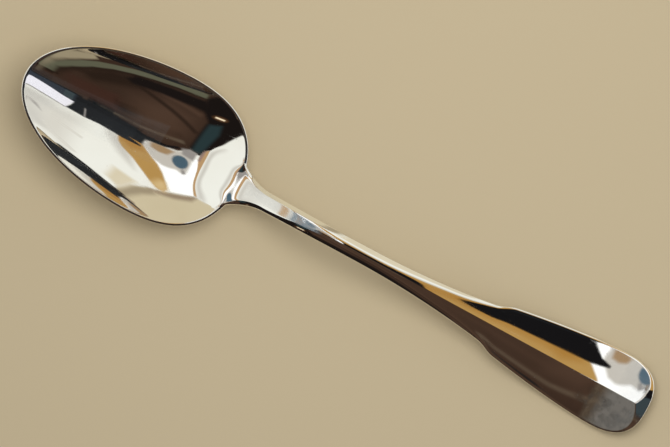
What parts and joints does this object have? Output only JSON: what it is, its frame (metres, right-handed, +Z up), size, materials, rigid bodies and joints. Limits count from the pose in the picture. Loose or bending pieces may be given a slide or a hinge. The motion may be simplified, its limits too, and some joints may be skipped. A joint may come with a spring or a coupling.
{
  "type": "tablespoon",
  "caption": "Polished metal tablespoon with an egg-shaped bowl, an arched narrow stem and a ridged, upturned fiddle-shaped handle end, lying on its back.",
  "frame": {"origin": "centre of the footprint, on the table that the spoon lies on", "axes": "+X from the bowl tip to the handle tip, +Y across the spoon, +Z up out of the hollow"},
  "size_m": [0.205, 0.0436, 0.0185],
  "materials": {
    "silver": "mirror-polished silver plate with light use scratches"
  },
  "bodies": {
    "root": {"bowl": "silver", "handle": "silver"}
  },
  "joints": []
}
